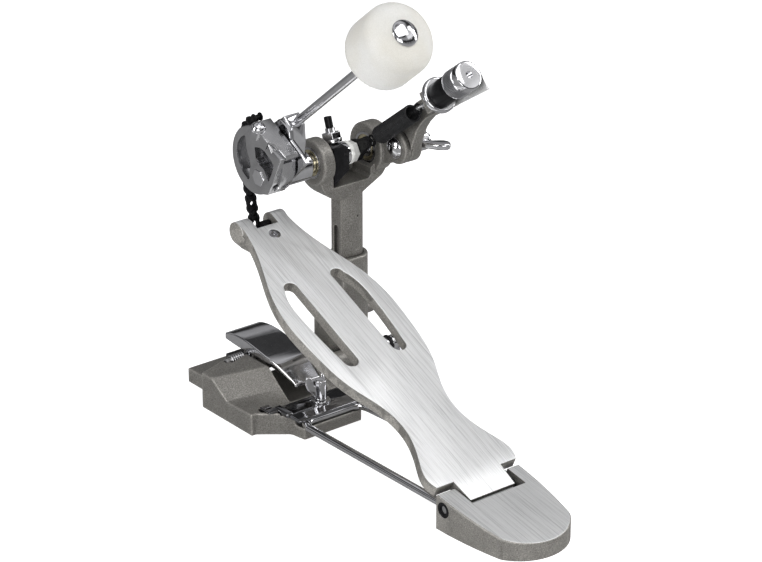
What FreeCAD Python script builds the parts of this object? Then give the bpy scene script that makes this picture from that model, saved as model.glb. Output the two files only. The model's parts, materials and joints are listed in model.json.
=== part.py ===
import FreeCAD, Part
import math
import os
from FreeCAD import Vector

# Bass drum pedal, single, chain drive.
# Frame: millimetres, +Z up, +Y towards the drum, +X to the player's right.
# The origin is on the floor, under the drive shaft, on the footboard's midline.

# ---------------------------------------------------------------- driving sizes
SHAFT_Z = 195.0
HEEL_FRONT_Y = -250.0
HEEL_HALF_WIDTH = 40.0
PIN_Y = -257.9
PIN_Z = 18.4
PIN_R = 3.5
RUN_CLEARANCE = 0.05

BOARD_SLOPE = 24.1
BOARD_Y0 = -249.1
BOARD_Z0 = 33.0
BOARD_LENGTH = 300.0
BOARD_THICKNESS = 9.0
TOE_R = 9.0
NOTCH_HALF = 10.2

CAM_CENTRE_Y = 2.5
CAM_CENTRE_Z = SHAFT_Z + 14.0
CAM_TRACK_R = 27.8
CAM_X0 = -15.0
ROOF_SEAT = 29.0
ROOF_TOP = 36.5
ROOF_LEAN = math.radians(27.7)
ROOF_NORMAL = (0.0, -math.sin(ROOF_LEAN), math.cos(ROOF_LEAN))
ROOF_ALONG = (0.0, -math.cos(ROOF_LEAN), -math.sin(ROOF_LEAN))
SCREW_ALONG = -19.0
SCREW_FOOT = (-14.3, ROOF_ALONG[1] * SCREW_ALONG, SHAFT_Z + ROOF_ALONG[2] * SCREW_ALONG)
CAM_X1 = 2.6
TRACK_X0 = -9.0
TRACK_X1 = 1.0

SHAFT_ACROSS = 12.5
NECK_R = 9.6
FLANGE_CENTRE_Y = 6.2
FLANGE_CENTRE_Z = SHAFT_Z + 12.9
FLANGE_R = 27.8
SPACER_R = 8.0

CHAIN_X = -4.0
CHAIN_PITCH = 8.0
CHAIN_R = 32.0
CHAIN_LINKS = 13
CHAIN_FREE_LINKS = 5
CHAIN_WRAP_LINKS = 1

BEATER_TILT = 50.7
BEATER_X = 15.0
BEATER_OFFSET = 26.0
BEATER_REACH = 183.0
BEATER_R = 29.2
BEATER_LENGTH = 48.0
ROD_R = 3.6

BEARING_R = 13.0
BEARING_BORE = 5.0
BEARING_WIDTH = 8.0
LEFT_BOSS_X = 36.0
RIGHT_BOSS_X = 91.0
LEFT_BOSS_R = 19.2
RIGHT_BOSS_R = 20.7

KEY_X = 61.0
KEY_LEAN = 18.0

SPRING_X = 86.0
SPRING_RISE = 36.9
SPRING_START = 31.0
SPRING_END = 84.0
SPRING_R = 7.5
SPRING_WIRE = 2.0
CRANK_R = 18.0
EYE_AT = 92.5

SWIVEL_Y = -34.5
SWIVEL_Z = SHAFT_Z + 9.5
SWIVEL_X = 93.8
ARM_X = 100.4
ARM_END = 120.0

STEM_X = 72.5
STEM_ROUND_X = 75.4
STEM_R = 10.4
SLEEVE_R = 14.4
SLEEVE_TOP = 109.0
YOKE_HALF = 12.5
LEFT_ARM_X1 = 49.6
LEFT_BOSS_X1 = 47.4
WALL_Y = 11.6
WALL_UP = -8.0
SLEEVE_BOLT_X = (53.0, 79.0)
ROD_WIRE_R = 3.15
ROD_BAR_Y = -71.0
ROD_BAR_Z = 13.4
LEG_DEPTH = 3.4

LEVER_HALF = 17.6
LEVER_PIVOT_Y = 20.0
LEVER_PIVOT_Z = 35.0

CLAMP_SCREW_Y = -20.0
CLAMP_SCREW_Z = 27.0
CLAMP_SCREW_R = 3.2
ROD_SCREW_X = 1.0
ROD_SCREW_Y = -57.0


# ---------------------------------------------------------------- shape helpers
def box(x0, x1, y0, y1, z0, z1):
    return Part.makeBox(x1 - x0, y1 - y0, z1 - z0, Vector(x0, y0, z0))


def rod_x(radius, x0, x1, y, z):
    """Cylinder along X."""
    return Part.makeCylinder(radius, x1 - x0, Vector(x0, y, z), Vector(1, 0, 0))


def rod_z(radius, x, y, z0, z1):
    """Cylinder along Z."""
    return Part.makeCylinder(radius, z1 - z0, Vector(x, y, z0), Vector(0, 0, 1))


def rod_between(radius, start, end):
    a = Vector(*start)
    way = Vector(*end) - a
    return Part.makeCylinder(radius, way.Length, a, way)


def ring_x(outer, inner, x0, x1, y, z):
    return rod_x(outer, x0, x1, y, z).cut(rod_x(inner, x0 - 1, x1 + 1, y, z))


def prism_x(outline, x0, x1):
    """Polygon of (y, z) points pushed along X."""
    wire = Part.makePolygon([Vector(x0, y, z) for y, z in outline + outline[:1]])
    return Part.Face(wire).extrude(Vector(x1 - x0, 0, 0))


def prism_y(outline, y0, y1):
    """Polygon of (x, z) points pushed along Y."""
    wire = Part.makePolygon([Vector(x, y0, z) for x, z in outline + outline[:1]])
    return Part.Face(wire).extrude(Vector(0, y1 - y0, 0))


def hexagon_x(across, x0, x1, y, z):
    corner = across / math.sqrt(3)
    outline = []
    for k in range(6):
        angle = math.radians(60 * k)
        outline.append((y + corner * math.cos(angle), z + corner * math.sin(angle)))
    return prism_x(outline, x0, x1)


def edges_in(shape, low, high):
    """Edges whose whole box lies between two corners."""
    found = []
    for edge in shape.Edges:
        b = edge.BoundBox
        inside_x = low[0] <= b.XMin and b.XMax <= high[0]
        inside_y = low[1] <= b.YMin and b.YMax <= high[1]
        inside_z = low[2] <= b.ZMin and b.ZMax <= high[2]
        if inside_x and inside_y and inside_z:
            found.append(edge)
    return found


def soften(shape, radius, low=(-999, -999, -999), high=(999, 999, 999)):
    """Rounds the edges in a region, and leaves them sharp where the kernel can't."""
    edges = edges_in(shape, low, high)
    for factor in (1.0, 0.6, 0.3):
        try:
            rounded = shape.makeFillet(radius * factor, edges)
        except Exception:
            continue
        if rounded.isValid() and rounded.Volume > 0.5 * shape.Volume:
            return rounded
    return shape


def group(solids):
    return Part.makeCompound(solids)


def fused(first, *others):
    return first.multiFuse(list(others)).removeSplitter()


def lathe(profile, centre, direction):
    """Solid of revolution: (along, radius) points about a line."""
    points = [Vector(a, r, 0) for a, r in profile]
    points = points + [Vector(profile[-1][0], 0, 0), Vector(profile[0][0], 0, 0)]
    wire = Part.makePolygon(points + points[:1])
    solid = Part.Face(wire).revolve(Vector(0, 0, 0), Vector(1, 0, 0), 360)
    turn = FreeCAD.Rotation(Vector(1, 0, 0), Vector(*direction))
    solid.Placement = FreeCAD.Placement(Vector(*centre), turn)
    return solid


def wing_screw(head_r, head_height, wing_reach, wing_height, spread, thick):
    """Two flat rounded wings on a round hub, standing on Z = 0."""
    hub = rod_z(head_r, 0, 0, 0, head_height)
    hub = soften(hub, 1.0)
    shares = [
        (0.0, 0.12, 0.0), (1.0, 0.08, 0.0), (0.55, 0.0, 0.22), (0.86, 0.0, 0.42), (1.0, 0.0, 0.74),
        (0.88, 0.0, 0.98), (0.62, 0.0, 0.92), (1.0, 0.72, 0.0), (0.0, 0.8, 0.0),
    ]
    wings = []
    for side in (1, -1):
        points = []
        for reach, head_share, wing_share in shares:
            full = head_r if head_share else wing_reach
            x = side * reach * full
            points.append(Vector(x, 0, head_share * head_height + wing_share * wing_height))
        outline = Part.BSplineCurve()
        outline.interpolate(points, PeriodicFlag=True)
        wing = Part.Face(Part.Wire(outline.toShape())).extrude(Vector(0, thick, 0))
        wing.translate(Vector(0, -thick / 2, 0))
        wing = soften(wing, 0.36 * thick)
        wing.rotate(Vector(0, 0, 0), Vector(0, 0, 1), side * spread)
        wings.append(wing)
    return fused(hub, *wings)


def placed(shape, centre, direction, spin=0.0):
    """Moves a shape made along +Z so that it points along a direction."""
    copy = shape.copy()
    copy.rotate(Vector(0, 0, 0), Vector(0, 0, 1), spin)
    turn = FreeCAD.Rotation(Vector(0, 0, 1), Vector(*direction))
    copy.Placement = FreeCAD.Placement(Vector(*centre), turn).multiply(copy.Placement)
    return copy


# ---------------------------------------------------------------- footboard and heel
def board_to_frame(shape):
    """From the board's own axes (x, along, up) to the pedal's frame."""
    copy = shape.copy()
    copy.rotate(Vector(0, 0, 0), Vector(1, 0, 0), BOARD_SLOPE)
    copy.translate(Vector(0, BOARD_Y0, BOARD_Z0))
    return copy


def board_point(along, up):
    a = math.radians(BOARD_SLOPE)
    y = BOARD_Y0 + along * math.cos(a) - up * math.sin(a)
    z = BOARD_Z0 + along * math.sin(a) + up * math.cos(a)
    return y, z


def board_side():
    """Right edge of the footboard, from heel to toe."""
    widths = [(38.5, 0), (41, 9), (35, 28), (26.4, 56), (29.5, 83), (40, 109), (47.8, 153)]
    widths = widths + [(49, 181), (44, 212), (33, 242), (25.5, 265), (22.8, BOARD_LENGTH)]
    return widths


def board_outline():
    right = Part.BSplineCurve()
    right.interpolate([Vector(x, s, 0) for x, s in board_side()])
    left = Part.BSplineCurve()
    left.interpolate([Vector(-x, s, 0) for x, s in board_side()])
    tongue = [(-38.5, 0), (-22.8, 0), (-21.3, -20), (21.3, -20), (22.8, 0), (38.5, 0)]
    tongue_points = [Vector(x, s, 0) for x, s in tongue]
    toe_right = Vector(22.8, BOARD_LENGTH, 0)
    toe_left = Vector(-22.8, BOARD_LENGTH, 0)
    edges = [right.toShape(), Part.makeLine(toe_right, toe_left), left.toShape()]
    edges = edges + Part.makePolygon(tongue_points).Edges
    return Part.Wire(Part.__sortEdges__(edges))


def board_slot(side):
    """Long window in the footboard: straight inner edge, bowed outer edge."""
    inner_low = Vector(side * 17, 134, 0)
    inner_high = Vector(side * 17, 215, 0)
    outer_high = Vector(side * 28.6, 216.5, 0)
    outer_low = Vector(side * 29.6, 133, 0)
    bow = Part.BSplineCurve()
    bow.interpolate([
        outer_high,
        Vector(side * 33.9, 200, 0),
        Vector(side * 34.2, 184, 0),
        Vector(side * 32.3, 156, 0),
        outer_low,
    ])
    edges = [
        Part.makeLine(inner_low, inner_high),
        Part.Arc(inner_high, Vector(side * 22.4, 222, 0), outer_high).toShape(),
        bow.toShape(),
        Part.Arc(outer_low, Vector(side * 23.4, 127.6, 0), inner_low).toShape(),
    ]
    face = Part.Face(Part.Wire(Part.__sortEdges__(edges)))
    return face.extrude(Vector(0, 0, -40)).translated(Vector(0, 0, 10))


def make_footboard():
    outline = Part.Face(board_outline())
    plate = outline.extrude(Vector(0, 0, -BOARD_THICKNESS))
    for side in (1, -1):
        plate = plate.cut(board_slot(side))
    plate = soften(plate, 0.9, (-60, -19, -0.01), (60, 299, 0.01))
    toe_centre = BOARD_LENGTH - TOE_R
    under = [(256, -6), (toe_centre, -6), (toe_centre, -2 * TOE_R), (280, -15.5), (266, -9.5)]
    toe = prism_x(under, -22.8, 22.8).fuse(rod_x(TOE_R, -22.8, 22.8, toe_centre, -TOE_R))
    corner = box(-60, 60, toe_centre, 310, -40, 10)
    corner = corner.cut(rod_x(TOE_R, -61, 61, toe_centre, -TOE_R))
    plate = plate.cut(corner)
    along = -14.0
    up = -9.7
    knuckle = rod_x(8.5, -21.3, 21.3, along, up)
    notch = box(-NOTCH_HALF, NOTCH_HALF, 282.5, 310, -40, 10)
    board = fused(plate.cut(notch), toe.cut(notch), knuckle)
    board = board.cut(rod_z(3.0, 0, 272.5, -30, 10))
    board = board.cut(Part.makeCone(3.0, 5.2, 2.2, Vector(0, 272.5, -2.2), Vector(0, 0, 1)))
    board = board_to_frame(board)
    return board.cut(rod_x(PIN_R + RUN_CLEARANCE, -60, 60, PIN_Y, PIN_Z))


def make_toe_screw():
    """Countersunk screw in the toe."""
    shank = rod_z(2.95, 0, 272.5, -9.0, -2.1)
    head = Part.makeCone(2.95, 4.95, 2.0, Vector(0, 272.5, -2.2), Vector(0, 0, 1))
    socket = rod_z(1.6, 0, 272.5, -1.9, 1)
    return board_to_frame(fused(shank, head).cut(socket))


def heel_plan():
    y = HEEL_FRONT_Y
    w = HEEL_HALF_WIDTH
    edges = [
        Part.makeLine(Vector(-w, y, 0), Vector(w, y, 0)),
        Part.Arc(Vector(w, y, 0), Vector(38.4, y - 34, 0), Vector(33.6, y - 66, 0)).toShape(),
        Part.Arc(Vector(33.6, y - 66, 0), Vector(0, y - 85, 0), Vector(-33.6, y - 66, 0)).toShape(),
        Part.Arc(Vector(-33.6, y - 66, 0), Vector(-38.4, y - 34, 0), Vector(-w, y, 0)).toShape(),
    ]
    return Part.Face(Part.Wire(edges))


def make_heel():
    y = HEEL_FRONT_Y
    body = heel_plan().extrude(Vector(0, 0, 40))
    body = soften(body, 9.0, (-35, y - 70, -1), (35, y - 60, 41))
    above = [(y + 2, 28.85), (y + 2, 60), (y - 95, 60), (y - 95, 11.8)]
    body = body.cut(prism_x(above, -60, 60))
    body = soften(body, 1.6, (-60, y - 95, 10), (60, y + 1, 29))
    floor_z = PIN_Z - 9.4
    notch = box(-23.2, 28.6, y - 21.6, y + 5, floor_z, 60)
    body = body.cut(notch)
    body = body.cut(rod_x(PIN_R, -60, 60, PIN_Y, PIN_Z))
    for side in (1, -1):
        x0 = min(side * 37.2, side * 45)
        body = body.cut(rod_x(6.2, x0, x0 + 7.8, PIN_Y, PIN_Z))
        body = body.cut(rod_between(ROD_WIRE_R, leg_point(side, LEG_DEPTH), leg_point(side, -8.0)))
    pocket = box(-27, 27, y - 70, y - 32, -1, 8.0)
    return body.cut(soften(pocket, 4.0, (-30, y - 75, -2), (30, y - 28, 9)))


def make_heel_pin():
    """Hinge pin that the footboard turns on."""
    pin = rod_x(PIN_R, -38.9, 38.9, PIN_Y, PIN_Z)
    return soften(pin, 0.7)


def make_heel_bushes():
    """Flanged black bushes round the pin's ends."""
    return group([
        ring_x(6.2, PIN_R, -39.9, -37.2, PIN_Y, PIN_Z),
        ring_x(6.2, PIN_R, 37.2, 39.9, PIN_Y, PIN_Z),
    ])


# ---------------------------------------------------------------- stabiliser rod
def leg_point(side, past_front):
    """A point on a leg of the rod; past_front is measured into the heel."""
    share = (ROD_BAR_Y - 10 - (HEEL_FRONT_Y - past_front)) / (ROD_BAR_Y - 10 - HEEL_FRONT_Y)
    x = side * (29.0 + 4.5 * share)
    z = ROD_BAR_Z + 5.0 * share
    return x, HEEL_FRONT_Y - past_front, z


def make_stabiliser_rod():
    """One chromed wire: a cross bar at the base and two legs into the heel."""
    bar_end = 21.0
    rod = rod_x(ROD_WIRE_R, -bar_end, bar_end, ROD_BAR_Y, ROD_BAR_Z)
    for side in (1, -1):
        start = Vector(side * bar_end, ROD_BAR_Y, ROD_BAR_Z)
        middle = Vector(side * (bar_end + 5.8), ROD_BAR_Y - 2.9, ROD_BAR_Z)
        top = Vector(side * 29.0, ROD_BAR_Y - 10, ROD_BAR_Z)
        for a, b in ((start, middle), (middle, top)):
            rod = rod.fuse(Part.makeSphere(ROD_WIRE_R, a))
            rod = rod.fuse(Part.makeCylinder(ROD_WIRE_R, (b - a).Length, a, b - a))
        rod = rod.fuse(Part.makeSphere(ROD_WIRE_R, top))
        rod = rod.fuse(rod_between(ROD_WIRE_R, top, leg_point(side, LEG_DEPTH)))
    return rod


# ---------------------------------------------------------------- base
def side_wing(side):
    """Outer wing of the base: its top rises from the outer wall to the cheek."""
    outer = [(24, 0), (24, 30.5), (11, 30.5), (-10, 17.5), (-43, 18.5), (-43, 0)]
    inner = [(24, 0), (24, 40), (-16, 40), (-33, 27), (-43, 19), (-43, 0)]
    profiles = []
    for x, outline in ((side * 57.0, outer), (side * 19.0, inner)):
        points = [Vector(x, y, z) for y, z in outline + outline[:1]]
        profiles.append(Part.makePolygon(points))
    return Part.makeLoft(profiles, True, True)


def make_base_casting():
    left = side_wing(-1)
    right = side_wing(1)
    floor_plate = box(-19, 19, -43, 24, 0, 12)
    rear_plan = Part.makePolygon([
        Vector(-54, -42, 0), Vector(-31, -60, 0), Vector(-28.5, -74.5, 0), Vector(28.5, -74.5, 0),
        Vector(31, -60, 0), Vector(54, -42, 0), Vector(-54, -42, 0),
    ])
    rear = Part.Face(rear_plan).extrude(Vector(0, 0, 18.6))
    rear = rear.cut(box(-60, 60, -80, -64, 10.1, 30))
    rear = rear.cut(box(-37.4, 37.4, -80, -44.4, 16.7, 30))
    lip = box(-54, 54, 20, 47, 13, 25.5)
    foot = box(40, 91, -19, 19, 0, 17)
    boss = rod_x(7.5, 36, 62, CLAMP_SCREW_Y, CLAMP_SCREW_Z)
    body = fused(left, right, floor_plate, rear, lip, foot, boss)
    body = body.cut(box(-19, 19, -42, 26, 12, 60))
    body = soften(body, 3.0, (-60, -80, -0.5), (-50, 50, 32))
    body = soften(body, 2.0, (-52, 44, 10), (52, 48, 30))
    body = body.cut(rod_x(2.6, -36, 30, LEVER_PIVOT_Y, LEVER_PIVOT_Z))
    body = body.cut(box(-33.0, -18.9, 14.6, 25.4, 29.6, 60))
    body = body.cut(rod_x(CLAMP_SCREW_R + RUN_CLEARANCE, 15, 95, CLAMP_SCREW_Y, CLAMP_SCREW_Z))
    body = body.cut(rod_z(3.0 + RUN_CLEARANCE, ROD_SCREW_X, ROD_SCREW_Y, 3.0, 30))
    body = body.cut(box(-47, -37.0, -44, -38, 12.0, 30))
    return body


def make_hoop_pad():
    """Rubber pad that the drum's hoop stands on, glued to the front lip."""
    pad = box(-17, 17, 26, 46, 25.5, 28.0)
    return soften(pad, 0.8, (-18, 25, 27), (18, 47, 29))


def make_clamp_lever():
    """Bright rocker that holds the hoop: nose over the lip, tail over the screw."""
    top = [(46, 46.5), (38, 48.6), (28, 49.6), (17, 49.2), (6, 47.6), (-6, 45.6), (-18, 42.6)]
    top = top + [(-30, 37.2), (-41.5, 31.2)]
    under = [(-42.3, 27.0), (-31, 32.4), (-18, 36.6), (-4, 38.8), (10, 40.0), (24, 39.8)]
    under = under + [(36, 40.4), (46, 41.4)]
    upper = Part.BSplineCurve()
    upper.interpolate([Vector(0, y, z) for y, z in top])
    lower = Part.BSplineCurve()
    lower.interpolate([Vector(0, y, z) for y, z in under])
    tail = Part.makeLine(Vector(0, *top[-1]), Vector(0, *under[0]))
    nose = Part.makeLine(Vector(0, *under[-1]), Vector(0, *top[0]))
    wire = Part.Wire(Part.__sortEdges__([upper.toShape(), lower.toShape(), tail, nose]))
    blade = Part.Face(wire).extrude(Vector(2 * LEVER_HALF, 0, 0))
    blade.translate(Vector(-LEVER_HALF, 0, 0))
    waist = Part.makePolygon([
        Vector(LEVER_HALF, -8, 0), Vector(40, -8, 0), Vector(40, -60, 0), Vector(11.5, -60, 0),
        Vector(12.5, -36, 0), Vector(LEVER_HALF, -8, 0),
    ])
    trim = Part.Face(waist).extrude(Vector(0, 0, 80))
    blade = blade.cut(trim).cut(trim.mirror(Vector(0, 0, 0), Vector(1, 0, 0)))
    blade = soften(blade, 1.2, (-30, -45, 20), (30, 50, 60))
    lugs = []
    for x0 in (-14.0, 9.0):
        lug = rod_x(5.2, x0, x0 + 5, LEVER_PIVOT_Y, LEVER_PIVOT_Z)
        web = box(x0, x0 + 5, LEVER_PIVOT_Y - 5.2, LEVER_PIVOT_Y + 5.2, LEVER_PIVOT_Z, 42.5)
        lugs.append(lug.fuse(web))
    lever = fused(blade, *lugs)
    return lever.cut(rod_x(2.6 + RUN_CLEARANCE, -30, 30, LEVER_PIVOT_Y, LEVER_PIVOT_Z))


def make_lever_pin():
    return rod_x(2.6, -35.9, 26.0, LEVER_PIVOT_Y, LEVER_PIVOT_Z)


def make_lever_spring():
    """Torsion spring that lifts the lever's nose: one coil between the lugs, one outside."""
    coils = []
    for first_x, turns in ((-6.3, 7), (-30.6, 6)):
        for k in range(turns):
            place = Vector(first_x + 2.1 * k, LEVER_PIVOT_Y, LEVER_PIVOT_Z)
            coils.append(Part.makeTorus(3.55, 0.9, place, Vector(1, 0, 0)))
    return group(coils)


def make_clamp_screw():
    """Wing bolt of the hoop clamp, from the right side; its cone lifts the tail."""
    shank = rod_x(CLAMP_SCREW_R, 4.0, 100.0, CLAMP_SCREW_Y, CLAMP_SCREW_Z)
    root = Vector(4.0, CLAMP_SCREW_Y, CLAMP_SCREW_Z)
    cone = Part.makeCone(CLAMP_SCREW_R, 1.0, 10.0, root, Vector(-1, 0, 0))
    collar = rod_x(6.0, 94.0, 97.0, CLAMP_SCREW_Y, CLAMP_SCREW_Z)
    wings = wing_screw(6.5, 12.0, 25.0, 14.0, 25.0, 4.0)
    head = placed(wings, (100.0, CLAMP_SCREW_Y, CLAMP_SCREW_Z), (1, 0, 0), 172.0)
    return fused(shank, cone, collar, head)


def make_clamp_screw_nut():
    """Black hexagon nut against the wings."""
    nut = hexagon_x(13.0, 97.0, 100.0, CLAMP_SCREW_Y, CLAMP_SCREW_Z)
    return nut.cut(rod_x(CLAMP_SCREW_R, 90, 105, CLAMP_SCREW_Y, CLAMP_SCREW_Z))


def make_rod_clamp_plate():
    """Plate that holds the cross bar down, with rolled ends and a hooked tab."""
    top_z = ROD_BAR_Z + ROD_WIRE_R
    plate = box(-34.0, 34.0, -75.0, -45.0, top_z + 0.2, top_z + 2.6)
    plate = soften(plate, 1.0, (-40, -80, top_z + 1), (40, -40, top_z + 3))
    pieces = [plate]
    for side in (1, -1):
        x0 = min(side * 30.5, side * 37.0)
        end = box(x0, x0 + 6.5, -63.5, -45.0, 16.7, top_z + 4.4)
        end = soften(end, 1.6, (-50, -80, top_z), (50, -40, top_z + 5))
        pieces.append(end)
    tab = box(-46.0, -35.0, -52.0, -46.0, 18.8, 20.6)
    hook = box(-46.0, -44.2, -52.0, -40.0, 18.8, 20.6)
    hook = hook.fuse(box(-46.0, -37.4, -43.5, -38.5, 13.0, 20.6))
    pieces.append(soften(tab.fuse(hook).removeSplitter(), 0.7))
    body = fused(*pieces)
    return body.cut(rod_z(3.0 + RUN_CLEARANCE, ROD_SCREW_X, ROD_SCREW_Y, 0, 40))


def make_rod_clamp_washer():
    top_z = ROD_BAR_Z + ROD_WIRE_R + 2.6
    washer = rod_z(7.6, ROD_SCREW_X, ROD_SCREW_Y, top_z, top_z + 1.4)
    return washer.cut(rod_z(3.0 + RUN_CLEARANCE, ROD_SCREW_X, ROD_SCREW_Y, 0, 40))


def make_rod_clamp_screw():
    """Wing bolt that tightens the plate."""
    seat_z = ROD_BAR_Z + ROD_WIRE_R + 4.2
    shank = rod_z(3.0, ROD_SCREW_X, ROD_SCREW_Y, 4.0, seat_z + 2)
    wings = wing_screw(4.6, 17.0, 13.0, 21.0, 30.0, 3.2)
    head = placed(wings, (ROD_SCREW_X, ROD_SCREW_Y, seat_z), (0, 0, 1), 10.0)
    return fused(shank, head)


# ---------------------------------------------------------------- post and yoke
def stem_section(z):
    """Flat on the left, round on the right."""
    flat = STEM_X - 11.2
    r = STEM_R
    corner_front = Vector(flat, -6.4, z)
    corner_back = Vector(flat, 6.4, z)
    near = Vector(STEM_ROUND_X, -r, z)
    far = Vector(STEM_ROUND_X, r, z)
    edges = [
        Part.makeLine(corner_back, corner_front),
        Part.Arc(corner_front, Vector(STEM_X - 6.4, -9.2, z), near).toShape(),
        Part.Arc(near, Vector(STEM_ROUND_X + r, 0, z), far).toShape(),
        Part.Arc(far, Vector(STEM_X - 6.4, 9.2, z), corner_back).toShape(),
    ]
    return Part.Face(Part.Wire(edges))


def sleeve_body():
    """Outside of the sleeve and its foot, without holes."""
    r = SLEEVE_R
    mid = STEM_ROUND_X
    outline = [(60, SLEEVE_TOP), (60, 74), (46, 54), (46, 17), (mid, 17), (mid, SLEEVE_TOP)]
    body = prism_y(outline, -r, r)
    body = soften(body, 6.5, (45, -r - 1, 16), (61, r + 1, 111))
    return fused(body, rod_z(r, mid, 0, 17, SLEEVE_TOP))


def make_post_sleeve():
    """Socket for the stem, flared into a foot on the base."""
    body = soften(sleeve_body(), 1.2, (45, -20, SLEEVE_TOP - 0.1), (95, 20, SLEEVE_TOP + 0.1))
    body = fused(body, soften(rod_x(5.6, 84, 97.4, 0, 55.5), 1.6))
    body = body.cut(stem_section(30).extrude(Vector(0, 0, 100)))
    for z in (58.0, 92.0):
        body = body.cut(Part.makeCylinder(3.0, 9.0, Vector(STEM_X + 2, 8.0, z), Vector(0, 1, 0)))
    for x in SLEEVE_BOLT_X:
        body = body.cut(rod_z(2.9, x, 0, 10.0, 27.0))
    return body


def make_sleeve_bolts():
    """Two bolts up through the base into the sleeve."""
    bolts = []
    for x in SLEEVE_BOLT_X:
        bolts.append(rod_z(4.6, x, 0, 2.0, 6.0).fuse(rod_z(2.9, x, 0, 6.0, 27.0)).removeSplitter())
    return group(bolts)


def sleeve_bolt_room():
    rooms = []
    for x in SLEEVE_BOLT_X:
        rooms.append(rod_z(4.6, x, 0, -1.0, 6.0))
        rooms.append(rod_z(2.9, x, 0, 5.0, 27.0))
    return rooms


def make_height_screws():
    """Square-socket screws on the drum side that lock the stem at its height."""
    screws = []
    for z in (58.0, 92.0):
        start = Vector(STEM_X + 2, STEM_R + 0.4, z)
        shank = Part.makeCylinder(3.0, 6.0, start, Vector(0, 1, 0))
        head = Part.makeCylinder(5.2, 6.5, Vector(STEM_X + 2, SLEEVE_R + 0.1, z), Vector(0, 1, 0))
        socket = Part.makeCylinder(2.4, 4.0, Vector(STEM_X + 2, SLEEVE_R + 3.6, z), Vector(0, 1, 0))
        screws.append(shank.fuse(soften(head, 0.8)).cut(socket).removeSplitter())
    return group(screws)


def yoke_outline():
    """Front view of the crescent: outer rim, then the inner edge."""
    z = SHAFT_Z
    left = LEFT_BOSS_X
    right = RIGHT_BOSS_X + 14.0
    def at(x, up):
        return Vector(x, 0, z + up)
    return [
        Part.makeLine(at(left, 0), at(left, -10)),
        Part.Arc(at(left, -10), at(44.5, -27.0), at(58.6, -34.8)).toShape(),
        Part.makeLine(at(58.6, -34.8), at(79.5, -34.8)),
        Part.makeLine(at(79.5, -34.8), at(99.0, -21.0)),
        Part.Arc(at(99.0, -21.0), at(103.4, -14.6), at(right, -8.0)).toShape(),
        Part.makeLine(at(right, -8.0), at(right, 0)),
        Part.makeLine(at(right, 0), at(RIGHT_BOSS_X, 0)),
        Part.makeLine(at(RIGHT_BOSS_X, 0), at(RIGHT_BOSS_X, -10)),
        Part.makeLine(at(RIGHT_BOSS_X, -10), at(87.2, -13)),
        Part.makeLine(at(87.2, -13), at(87.2, -18.6)),
        Part.makeLine(at(87.2, -18.6), at(84.6, -21.2)),
        Part.makeLine(at(84.6, -21.2), at(LEFT_ARM_X1, -21.2)),
        Part.makeLine(at(LEFT_ARM_X1, -21.2), at(LEFT_ARM_X1, -13.5)),
        Part.makeLine(at(LEFT_ARM_X1, -13.5), at(LEFT_BOSS_X1, -6)),
        Part.makeLine(at(LEFT_BOSS_X1, -6), at(LEFT_BOSS_X1, 0)),
        Part.makeLine(at(LEFT_BOSS_X1, 0), at(left, 0)),
    ]


def make_yoke():
    """One casting: crescent between two bearing bosses, on the stem."""
    z = SHAFT_Z
    half = YOKE_HALF
    right = RIGHT_BOSS_X + 14.0
    crescent = Part.Face(Part.Wire(yoke_outline())).extrude(Vector(0, 2 * half, 0))
    crescent.translate(Vector(0, -half, 0))
    for side in (1, -1):
        slope = [(side * 8.2, z - 36), (side * 14, z - 36), (side * 14, z - 22), (side * half, z - 22)]
        crescent = crescent.cut(prism_x(slope, 30, 110))
    left = soften(rod_x(LEFT_BOSS_R, LEFT_BOSS_X, LEFT_BOSS_X1, 0, z), 1.8)
    right_boss = soften(rod_x(RIGHT_BOSS_R, RIGHT_BOSS_X, right, 0, z), 2.0)
    swivel = soften(rod_x(14.0, SWIVEL_X, ARM_X, SWIVEL_Y, SWIVEL_Z), 1.4)
    bridge = prism_x([
        (0, z - 18), (-5, z + 18), (SWIVEL_Y + 6, SWIVEL_Z + 11.0), (SWIVEL_Y + 2, SWIVEL_Z - 13.5),
    ], SWIVEL_X, ARM_X)
    stem = stem_section(40).extrude(Vector(0, 0, 128))
    body = fused(crescent, left, right_boss, swivel, bridge, stem)
    body = body.cut(box(LEFT_ARM_X1 + 0.01, 84.6, -13, WALL_Y, z - 21.2, z))
    back_wall = box(LEFT_ARM_X1 - 3, RIGHT_BOSS_X + 2, WALL_Y, half + 3.0, z - 24, z + WALL_UP)
    body = fused(body, soften(back_wall, 1.0))
    body = body.cut(rod_x(BEARING_R, LEFT_BOSS_X - 1, LEFT_BOSS_X + BEARING_WIDTH, 0, z))
    body = body.cut(rod_x(10.4, LEFT_BOSS_X + 1, LEFT_BOSS_X1 + 1, 0, z))
    body = body.cut(rod_x(BEARING_R, RIGHT_BOSS_X - 1, RIGHT_BOSS_X + BEARING_WIDTH, 0, z))
    body = body.cut(rod_x(8.6, RIGHT_BOSS_X, right + 1, 0, z))
    body = body.cut(rod_x(4.0, SWIVEL_X - 1, ARM_X + 10, SWIVEL_Y, SWIVEL_Z))
    flat_x = STEM_X - 11.2
    slot = box(flat_x - 1, flat_x + 3.5, -3.1, 3.1, 60, 132)
    slot = slot.fuse(rod_x(3.1, flat_x - 1, flat_x + 3.5, 0, 132))
    body = body.cut(slot)
    for mark_z in (114.0, 128.6):
        body = body.cut(box(STEM_ROUND_X - 3, STEM_ROUND_X + 6, -11, 0.5 - STEM_R, mark_z, mark_z + 0.9))
    return body.cut(Part.makeCylinder(1.0, 3, Vector(STEM_ROUND_X, -STEM_R - 1, 143), Vector(0, 1, 0)))


def make_bearing_outers():
    rings = []
    for x in (LEFT_BOSS_X, RIGHT_BOSS_X):
        rings.append(ring_x(BEARING_R, 10.8, x, x + BEARING_WIDTH, 0, SHAFT_Z))
    return group(rings)


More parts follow.
